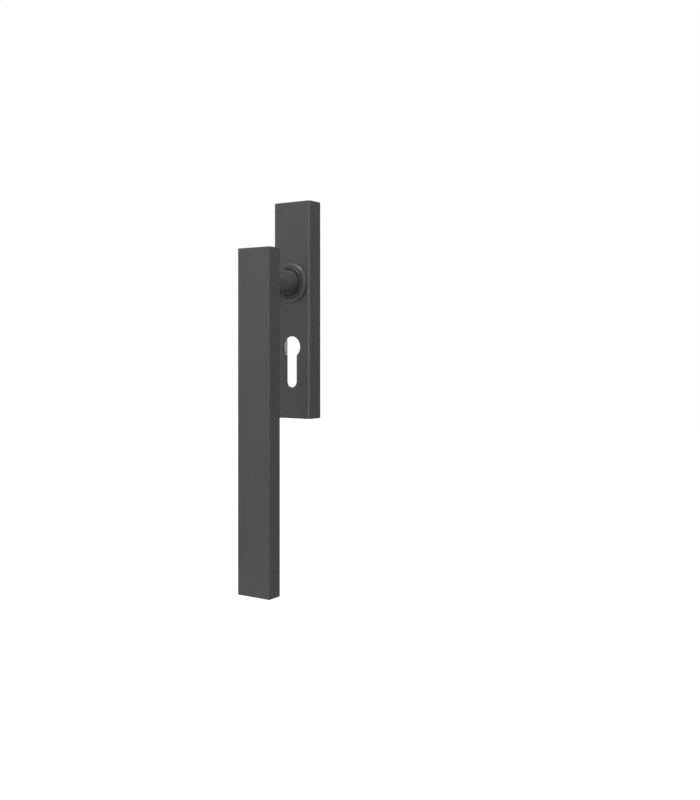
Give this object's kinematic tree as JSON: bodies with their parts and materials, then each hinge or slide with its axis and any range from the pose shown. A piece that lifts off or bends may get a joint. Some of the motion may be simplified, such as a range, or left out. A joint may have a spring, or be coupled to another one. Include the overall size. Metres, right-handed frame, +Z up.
{
  "type": "lift and slide door handle",
  "caption": "Long flat grip bar on a turning neck, carried by a narrow rectangular plate with a raised collar and a profile cylinder hole.",
  "frame": {"origin": "on the neck's turning axis, in the plane of the door's face that the plate rests on", "axes": "+Y into the door along the turning axis, +Z up along the plate and the hanging grip bar, X across the plate"},
  "size_m": [0.038, 0.065, 0.3185],
  "materials": {
    "anthracite_metal": "satin anthracite coat, very fine texture",
    "cast_base": "plain die casting",
    "bush_plastic": "moulded black bearing plastic",
    "glide_plastic": "natural glide plastic",
    "zinc_steel": "bright zinc plate",
    "spring_steel": "blackened spring steel",
    "ground_steel": "ground"
  },
  "bodies": {
    "plate": {"cover_plate": "anthracite_metal", "base_plate": "cast_base", "bearing_bush": "bush_plastic", "collar_ring": "anthracite_metal", "glide_washer": "glide_plastic", "thrust_washer": "zinc_steel", "fixing_sleeve_upper": "zinc_steel", "fixing_sleeve_lower": "zinc_steel", "cover_screw_upper": "spring_steel", "cover_screw_lower": "spring_steel"},
    "lever": {"grip_bar": "anthracite_metal", "neck": "anthracite_metal", "neck_screw": "zinc_steel", "lock_washer": "spring_steel", "dowel_pin_left": "ground_steel", "dowel_pin_right": "ground_steel", "spindle_set_screw": "spring_steel", "retaining_ring": "spring_steel"}
  },
  "joints": [
    {"name": "lever_turn", "type": "hinge", "parent": "plate", "child": "lever", "pos_m": [0, 0, 0], "axis": [0, -1, 0], "range_deg": [0, 180]}
  ]
}
